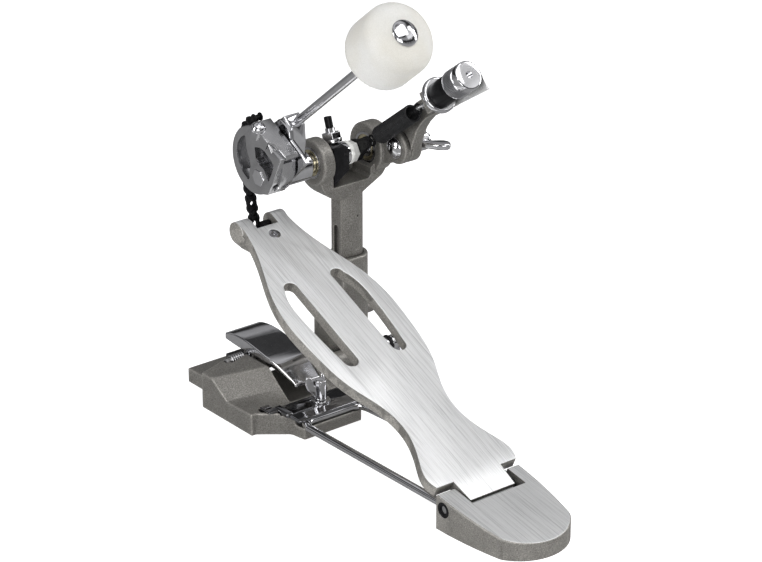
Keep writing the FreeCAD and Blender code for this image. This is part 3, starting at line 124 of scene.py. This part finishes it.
def build_sky():
    """Grey studio sky in soft bands, so that bright metal has something to mirror."""
    world = bpy.data.worlds.new("studio")
    scene.world = world
    world.use_nodes = True
    nodes = world.node_tree.nodes
    links = world.node_tree.links
    background = nodes["Background"]
    coord = nodes.new("ShaderNodeTexCoord")
    split = nodes.new("ShaderNodeSeparateXYZ")
    ramp = nodes.new("ShaderNodeValToRGB")
    links.new(coord.outputs["Generated"], split.inputs[0])
    links.new(split.outputs["Z"], ramp.inputs[0])
    links.new(ramp.outputs[0], background.inputs["Color"])
    stops = [(place, (level, level, level * SKY_BLUENESS)) for place, level in SKY_STEPS]
    fill_ramp(ramp.color_ramp.elements, stops)
    background.inputs["Strength"].default_value = SKY_STRENGTH


for softbox in SOFTBOXES:
    area_light(*softbox)
build_sky()


# ---------------------------------------------------------------- materials
class Maker:
    """A material's node tree, with short names for what repeats."""

    def __init__(self, name):
        self.material = bpy.data.materials.new(name)
        self.material.use_nodes = True
        self.nodes = self.material.node_tree.nodes
        self.links = self.material.node_tree.links
        self.shader = self.nodes["Principled BSDF"]
        self.coord = self.nodes.new("ShaderNodeTexCoord").outputs["Object"]

    def set(self, **values):
        """Fixed values on the shader's own sockets."""
        for key, value in values.items():
            self.shader.inputs[key.replace("_", " ")].default_value = value

    def streaked(self, scale, tilt):
        """Coordinates squeezed across the object and turned about X."""
        mapping = self.nodes.new("ShaderNodeMapping")
        mapping.inputs["Scale"].default_value = scale
        mapping.inputs["Rotation"].default_value = (tilt, 0, 0)
        self.links.new(self.coord, mapping.inputs["Vector"])
        return mapping.outputs[0]

    def noise(self, scale, detail, rough, vector=None, spread=0):
        node = self.nodes.new("ShaderNodeTexNoise")
        node.inputs["Scale"].default_value = scale
        node.inputs["Detail"].default_value = detail
        node.inputs["Roughness"].default_value = rough
        node.inputs["Distortion"].default_value = spread
        self.links.new(vector if vector else self.coord, node.inputs["Vector"])
        return node.outputs["Fac"]

    def ramp(self, value, stops):
        """Stops are (place, colour) or (place, grey level)."""
        node = self.nodes.new("ShaderNodeValToRGB")
        coloured = [
            (place, colour if hasattr(colour, "__len__") else (colour,) * 3)
            for place, colour in stops
        ]
        fill_ramp(node.color_ramp.elements, coloured)
        self.links.new(value, node.inputs[0])
        return node.outputs[0]

    def times(self, a, b):
        """Two colours multiplied."""
        node = self.nodes.new("ShaderNodeMix")
        node.data_type = "RGBA"
        node.blend_type = "MULTIPLY"
        node.inputs["Factor"].default_value = 1.0
        self.links.new(a, node.inputs[6])
        self.links.new(b, node.inputs[7])
        return node.outputs[2]

    def add(self, a, b):
        node = self.nodes.new("ShaderNodeMath")
        node.operation = "ADD"
        self.links.new(a, node.inputs[0])
        self.links.new(b, node.inputs[1])
        return node.outputs[0]

    def range(self, value, low, high):
        node = self.nodes.new("ShaderNodeMapRange")
        node.inputs["To Min"].default_value = low
        node.inputs["To Max"].default_value = high
        self.links.new(value, node.inputs["Value"])
        return node.outputs[0]

    def crevice(self, reach, depth):
        """Shade that gathers in corners: 1 in the open, depth in a deep corner."""
        node = self.nodes.new("ShaderNodeAmbientOcclusion")
        node.samples = 8
        node.inputs["Distance"].default_value = reach
        return self.ramp(node.outputs["AO"], [(0.30, depth), (0.80, 1.0)])

    def painted_edge_highlight(self, gain):
        """1 on flats, gain along outer edges: a painted highlight that brightens the surface there."""
        geometry = self.nodes.new("ShaderNodeNewGeometry")
        edge = self.ramp(geometry.outputs["Pointiness"], [(0.50, 0.0), (0.56, 1.0)])
        return self.ramp(edge, [(0.0, 1.0), (1.0, gain)])

    def colour(self, value):
        self.links.new(value, self.shader.inputs["Base Color"])

    def rough(self, value, low, high):
        self.links.new(self.range(value, low, high), self.shader.inputs["Roughness"])

    def bump(self, value, strength, distance):
        node = self.nodes.new("ShaderNodeBump")
        node.inputs["Strength"].default_value = strength
        node.inputs["Distance"].default_value = distance
        self.links.new(value, node.inputs["Height"])
        self.links.new(node.outputs[0], self.shader.inputs["Normal"])


def scaled(tone, gain, lift=0.0):
    """The colour made brighter or darker, never over white."""
    return tuple(min(1, level * gain + lift) for level in tone)


def brushed_top(name, tilt, tone):
    """Sanded aluminium: fine streaks along the board."""
    m = Maker(name)
    m.set(Metallic=0.45, IOR=1.5)
    fine = m.noise(1.0, 5, 0.75, m.streaked((760, 16, 16), tilt))
    wide = m.noise(1.0, 2, 0.5, m.streaked((240, 7, 7), tilt))
    streak = m.add(fine, m.range(wide, -0.07, 0.07))
    m.colour(m.ramp(streak, [(0.30, scaled(tone, 0.66)), (0.52, tone), (0.70, scaled(tone, 1.1))]))
    m.rough(streak, 0.50, 0.32)
    m.bump(streak, 0.35, 0.00008)
    return m.material


def cast_metal(name, tone, grain, metal):
    """Satin casting: warm grey with a fine sparkle and a sandy surface."""
    m = Maker(name)
    m.set(Metallic=metal)
    speck = m.noise(1250, 3, 0.7)
    cloud = m.noise(60, 3, 0.5)
    base = m.ramp(speck, [(0.32, scaled(tone, 0.55)), (0.52, tone), (0.68, scaled(tone, 1.6))])
    base = m.times(base, m.ramp(cloud, [(0.3, 0.84), (0.7, 1.0)]))
    base = m.times(base, m.crevice(0.010, 0.30))
    # painted highlight: the colour is made brighter along outer edges
    m.colour(m.times(base, m.painted_edge_highlight(1.75)))
    m.rough(cloud, 0.34, 0.52)
    m.bump(speck, 0.22 * grain, 0.00012)
    return m.material


def bright_plate(name, tone, rough=(0.05, 0.13)):
    """Plated or polished metal with faint polishing marks."""
    m = Maker(name)
    m.set(Metallic=1.0)
    haze = m.noise(90, 4, 0.6)
    m.colour(m.ramp(haze, [(0.35, scaled(tone, 0.90)), (0.65, tone)]))
    m.rough(haze, *rough)
    m.bump(m.noise(700, 2, 0.5), 0.03, 0.00004)
    return m.material


def smooth_coat(name, tone, rough, shine=0.5):
    """Paint, blacking or moulded plastic, made a little lighter along its edges by a painted highlight."""
    m = Maker(name)
    m.set(Metallic=0.0, IOR=1.48, Specular_IOR_Level=shine)
    haze = m.noise(180, 3, 0.6)
    base = m.ramp(haze, [(0.3, tone), (0.75, scaled(tone, 1.5, 0.003))])
    m.colour(m.times(base, m.painted_edge_highlight(2.2)))
    m.rough(haze, *rough)
    m.bump(m.noise(1900, 2, 0.5), 0.12, 0.00006)
    return m.material


def felt_cloth(name):
    """Hard-pressed wool felt: tiny tangled fibres, off-white with a little yellow."""
    m = Maker(name)
    m.set(Roughness=0.95, Sheen_Weight=0.35, Sheen_Roughness=0.5)
    fibre = m.noise(1500, 5, 0.75, spread=1.2)
    clump = m.noise(210, 4, 0.6)
    patch = m.noise(28, 2, 0.5)
    tone = m.ramp(fibre, [(0.30, (0.70, 0.695, 0.665)), (0.62, (0.86, 0.857, 0.835))])
    stain = m.ramp(patch, [(0.35, (0.95, 0.93, 0.88)), (0.65, 1.0)])
    m.colour(m.times(tone, stain))
    m.bump(m.add(fibre, clump), 0.55, 0.0004)
    return m.material


BLACK = (0.004, 0.004, 0.0045)
materials = {
    "brushed_alloy": brushed_top("brushed_alloy", BOARD_SLOPE, (0.93, 0.935, 0.935)),
    "heel_top": brushed_top("heel_top", HEEL_SLOPE, (0.76, 0.765, 0.765)),
    "toe_steel": bright_plate("toe_steel", (0.62, 0.62, 0.64), (0.16, 0.26)),
    "cast_grey": cast_metal("cast_grey", (0.31, 0.298, 0.277), 1.0, 0.55),
    "polished_cam": bright_plate("polished_cam", (0.60, 0.60, 0.61), (0.16, 0.26)),
    "chrome": bright_plate("chrome", (0.82, 0.82, 0.84)),
    "dark_chrome": bright_plate("dark_chrome", (0.36, 0.36, 0.375), (0.06, 0.14)),
    "steel": bright_plate("steel", (0.55, 0.55, 0.56), (0.20, 0.32)),
    "black_steel": smooth_coat("black_steel", BLACK, (0.20, 0.32), 0.14),
    "spring_black": smooth_coat("spring_black", BLACK, (0.20, 0.30), 0.30),
    "knurled": bright_plate("knurled", (0.46, 0.46, 0.475), (0.30, 0.42)),
    "black_plastic": smooth_coat("black_plastic", BLACK, (0.26, 0.38), 0.12),
    "white_nylon": smooth_coat("white_nylon", (0.62, 0.62, 0.60), (0.30, 0.4)),
    "rubber_pad": smooth_coat("rubber_pad", (0.02, 0.02, 0.02), (0.6, 0.75)),
    "gold_shield": bright_plate("gold_shield", (0.62, 0.56, 0.38), (0.18, 0.30)),
    "felt": felt_cloth("felt"),
    "grey_plate": cast_metal("grey_plate", (0.78, 0.78, 0.77), 0.5, 0.75),
}


# ---------------------------------------------------------------- pieces from the frame's nodes
def smooth_by_angle(mesh, degrees):
    mesh.shade_smooth()
    mesh.set_sharp_from_angle(angle=math.radians(degrees))


def show(name, mesh, slot, body, nodes):
    """Put the mesh in the scene as a piece that rides on a body, in place of the nodes."""
    piece = bpy.data.objects.new(name, mesh)
    scene.collection.objects.link(piece)
    if not mesh.materials:
        mesh.materials.append(materials[slot])
    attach(piece, body)
    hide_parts(*nodes)
    return piece


def show_node(node, mesh):
    return show(node + "_piece", mesh, node_slot[node], body_of[node], [node])


def clean_copy(node, triangles=False):
    """The node's surface with its flat faces whole again, or cut into plain triangles."""
    mesh = frame["nodes"][node].data.copy()
    mesh.materials.clear()
    work = bmesh.new()
    work.from_mesh(mesh)
    bmesh.ops.remove_doubles(work, verts=work.verts, dist=2e-6)
    bmesh.ops.dissolve_limit(
        work, angle_limit=math.radians(0.6), verts=work.verts, edges=work.edges, delimit=set()
    )
    if triangles:
        bmesh.ops.triangulate(work, faces=work.faces)
    work.to_mesh(mesh)
    work.free()
    for attribute in list(mesh.attributes):
        if attribute.name == "custom_normal":
            mesh.attributes.remove(attribute)
    return mesh


def with_modifiers(mesh, modifiers):
    """The mesh after a list of modifiers, each a kind and its settings."""
    carrier = bpy.data.objects.new("carrier", mesh)
    scene.collection.objects.link(carrier)
    for kind, settings in modifiers:
        modifier = carrier.modifiers.new(kind.lower(), kind)
        for key, value in settings.items():
            setattr(modifier, key, value)
    depsgraph = bpy.context.evaluated_depsgraph_get()
    result = bpy.data.meshes.new_from_object(carrier.evaluated_get(depsgraph))
    bpy.data.objects.remove(carrier)
    return result


def bevelled(node, width):
    """A copy of the node with its sharp edges eased by the width in mm."""
    bevel = {
        "width": width * MM,
        "segments": 2,
        "limit_method": "ANGLE",
        "angle_limit": math.radians(30),
        "use_clamp_overlap": True,
        "miter_outer": "MITER_ARC",
    }
    mesh = with_modifiers(clean_copy(node), [("BEVEL", bevel)])
    smooth_by_angle(mesh, 35)
    return mesh


def remeshed(mesh, voxel, rounds):
    """The mesh on an even grid of voxel mm, with its edges worn round."""
    return with_modifiers(mesh, [
        ("REMESH", {"mode": "VOXEL", "voxel_size": voxel * MM}),
        ("SMOOTH", {"factor": 0.5, "iterations": rounds}),
    ])


def cast_piece(node, voxel, rounds):
    """A casting: every edge and inner corner is softly rounded."""
    mesh = remeshed(clean_copy(node, triangles=True), voxel, rounds)
    mesh.shade_smooth()
    show_node(node, mesh)


def faced_piece(node, width, top_material, upward, limit):
    """Eased copy whose faces that look upward are sanded bright, the rest cast."""
    mesh = bevelled(node, width)
    mesh.materials.append(materials["cast_grey"])
    mesh.materials.append(materials[top_material])
    way = Vector(upward).normalized()
    for face in mesh.polygons:
        face.material_index = 1 if face.normal.dot(way) > limit else 0
    show_node(node, mesh)


OWN_PIECES = {"footboard", "heel_casting", "beater_felt", "return_spring", "tightener_knob"}
# voxel in mm and rounds of smoothing
CASTINGS = {
    "base_casting": (0.7, 9),
    "post_sleeve": (0.6, 5),
    "yoke_post": (0.4, 4),
    "swivel_arm": (0.55, 5),
}
# how far an edge is eased, in mm
EDGE_WIDTH = {
    "hoop_clamp_lever": 0.9,
    "rod_clamp_plate": 0.3,
    "drive_cam": 0.35,
    "beater_bracket": 0.4,
    "beater_holder": 0.4,
}
PLAIN_EDGE = 0.18
BOARD_UP = (0, -math.sin(BOARD_SLOPE), math.cos(BOARD_SLOPE))
HEEL_UP = (0, -0.19, 0.98)

for node in sorted(node_slot):
    if node in CASTINGS:
        cast_piece(node, *CASTINGS[node])
    elif node not in OWN_PIECES:
        show_node(node, bevelled(node, EDGE_WIDTH.get(node, PLAIN_EDGE)))
faced_piece("footboard", 0.3, "brushed_alloy", BOARD_UP, 0.5)
faced_piece("heel_casting", 0.4, "heel_top", HEEL_UP, 0.9)

# ---------------------------------------------------------------- felt beater head
FELT_SWELL = 0.35 * MM
FELT_FUZZ = 0.10 * MM


def build_felt():
    """Barrel of pressed felt, a touch uneven, with its bore."""
    mesh = remeshed(clean_copy("beater_felt", triangles=True), 0.9, 6)
    normals = [v.normal.copy() for v in mesh.vertices]
    for vertex, normal in zip(mesh.vertices, normals):
        swell = noise.noise(vertex.co * 60.0) * FELT_SWELL
        fuzz = noise.noise(vertex.co * 900.0) * FELT_FUZZ
        vertex.co += normal * (swell + fuzz)
    mesh.shade_smooth()
    felt = show("beater_felt_piece", mesh, "felt", body_of["beater_felt"], ["beater_felt"])


build_felt()

# ---------------------------------------------------------------- return spring
SPRING_RISE = math.radians(36.9)
SPRING_WAY = Vector((0, -math.cos(SPRING_RISE), math.sin(SPRING_RISE)))
SPRING_SIDE = Vector((0, SPRING_WAY.z, -SPRING_WAY.y))
SPRING_BASE = Vector((0.086, 0, 0.195))
COIL_START = 31.0 * MM
COIL_END = 84.0 * MM
COIL_R = 6.5 * MM
COIL_TURNS = 25
STEPS_PER_TURN = 30
WIRE_R = 0.98 * MM
WIRE_SIDES = 10


def about_spring(angle):
    """Unit vector square to the spring's line, at an angle round it."""
    return Vector((1, 0, 0)) * math.cos(angle) + SPRING_SIDE * math.sin(angle)


def ring_corner(work, point, normal, other, angle):
    return work.verts.new(point + (normal * math.cos(angle) + other * math.sin(angle)) * WIRE_R)


def skin(work, rings):
    """Quads between each ring of corners and the next, row by row."""
    rows = []
    for first, second in zip(rings, rings[1:]):
        sides = len(first)
        row = []
        for k in range(sides):
            m = (k + 1) % sides
            row.append(work.faces.new((first[k], first[m], second[m], second[k])))
        rows.append(row)
    return rows


def finished(work, name):
    """The closed mesh with its faces turned outward."""
    bmesh.ops.recalc_face_normals(work, faces=work.faces)
    mesh = bpy.data.meshes.new(name)
    work.to_mesh(mesh)
    work.free()
    return mesh


def wire_along(points):
    """A closed round wire whose ring at each point is square to the path."""
    work = bmesh.new()
    rings = []
    normal = None
    last = len(points) - 1
    for i, point in enumerate(points):
        ahead = points[min(i + 1, last)] - points[max(i - 1, 0)]
        ahead.normalize()
        if normal is None:
            normal = ahead.orthogonal().normalized()
        normal = (normal - ahead * normal.dot(ahead)).normalized()
        other = ahead.cross(normal)
        angles = [2 * math.pi * k / WIRE_SIDES for k in range(WIRE_SIDES)]
        rings.append([ring_corner(work, point, normal, other, angle) for angle in angles])
    skin(work, rings)
    work.faces.new(list(reversed(rings[0])))
    work.faces.new(rings[-1])
    return finished(work, "tube")


def build_spring():
    """Close-wound coil that stretches between its two hooks."""
    steps = COIL_TURNS * STEPS_PER_TURN
    length = COIL_END - COIL_START - 2 * WIRE_R
    points = []
    for i in range(steps + 1):
        share = i / steps
        along = COIL_START + WIRE_R + length * share
        out = about_spring(2 * math.pi * COIL_TURNS * share)
        points.append(SPRING_BASE + SPRING_WAY * along + out * COIL_R)
    mesh = wire_along(points)
    mesh.shade_smooth()
    mesh.materials.append(materials["spring_black"])
    piece = bpy.data.objects.new("return_spring_piece", mesh)
    scene.collection.objects.link(piece)
    start = SPRING_BASE + SPRING_WAY * COIL_END
    end = SPRING_BASE + SPRING_WAY * COIL_START
    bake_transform(piece, "spring_link", "spring_hook", start=start, end=end)
    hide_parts("return_spring")


build_spring()

# ---------------------------------------------------------------- tightener knob
KNOB_START = SPRING_BASE + SPRING_WAY * 0.145
KNURL_TEETH = 64
SIDES_PER_TOOTH = 4
KNURL_DEPTH = 0.55
# along the knob in mm, radius in mm, and whether the row is knurled
KNOB_ROWS = [
    (0.0, 10.9, False), (0.4, 11.5, False), (1.0, 11.8, False), (1.2, 11.8, True),
    (13.4, 11.8, True), (13.6, 11.8, False), (13.9, 11.4, False), (14.1, 11.0, False),
    (14.7, 11.0, False), (14.9, 11.4, False), (15.3, 11.65, False), (20.2, 11.7, False),
    (21.0, 11.4, False), (21.45, 10.8, False), (21.6, 10.1, False), (21.6, 3.0, False),
    (21.2, 2.5, False), (18.6, 2.4, False), (18.6, 0.6, False),
]


def build_knob():
    """Straight-knurled barrel with a plain groove, a rounded cap and a key socket."""
    sides = KNURL_TEETH * SIDES_PER_TOOTH
    work = bmesh.new()
    rings = []
    for along, radius, knurl in KNOB_ROWS:
        ring = []
        for k in range(sides):
            in_valley = knurl and k % SIDES_PER_TOOTH in (0, 1)
            reach = (radius - (KNURL_DEPTH if in_valley else 0.0)) * MM
            out = about_spring(2 * math.pi * k / sides)
            ring.append(work.verts.new(KNOB_START + SPRING_WAY * (along * MM) + out * reach))
        rings.append(ring)
    for row, faces in enumerate(skin(work, rings)):
        knurled = KNOB_ROWS[row][2] and KNOB_ROWS[row + 1][2]
        for face in faces:
            face.material_index = 1 if knurled else 0
    work.faces.new(rings[0])
    work.faces.new(list(reversed(rings[-1])))
    mesh = finished(work, "knob")
    smooth_by_angle(mesh, 30)
    mesh.materials.append(materials["chrome"])
    mesh.materials.append(materials["knurled"])
    show("tightener_knob_piece", mesh, "chrome", body_of["tightener_knob"], ["tightener_knob"])


build_knob()

# ---------------------------------------------------------------- floor
FLOOR_HALF = 6.0
# name, height, tone, glow and the kind of ray that meets it
FLOORS = [
    ("pale_floor", -0.0002, 0.85, 0.86, "camera"),
    ("floor_mirrored", -0.0004, 0.24, 0.10, "glossy"),
    ("floor_bounce", -0.0006, 0.75, 0.10, "diffuse"),
]


def build_floor(name, height, tone, glow, seen_by):
    """A wide plane that only one kind of ray meets."""
    mesh = bpy.data.meshes.new(name)
    half = FLOOR_HALF
    corners = [
        (-half, -half, height), (half, -half, height), (half, half, height), (-half, half, height),
    ]
    mesh.from_pydata(corners, [], [(0, 1, 2, 3)])
    m = Maker(name)
    m.set(Roughness=0.9)
    m.set(Base_Color=(tone, tone, tone, 1))
    m.set(Emission_Color=(1, 1, 1, 1), Emission_Strength=glow)
    mesh.materials.append(m.material)
    floor = bpy.data.objects.new(name, mesh)
    scene.collection.objects.link(floor)
    floor.visible_camera = seen_by == "camera"
    floor.visible_diffuse = seen_by == "diffuse"
    floor.visible_glossy = seen_by == "glossy"
    floor.visible_shadow = False


for floor_row in FLOORS:
    build_floor(*floor_row)
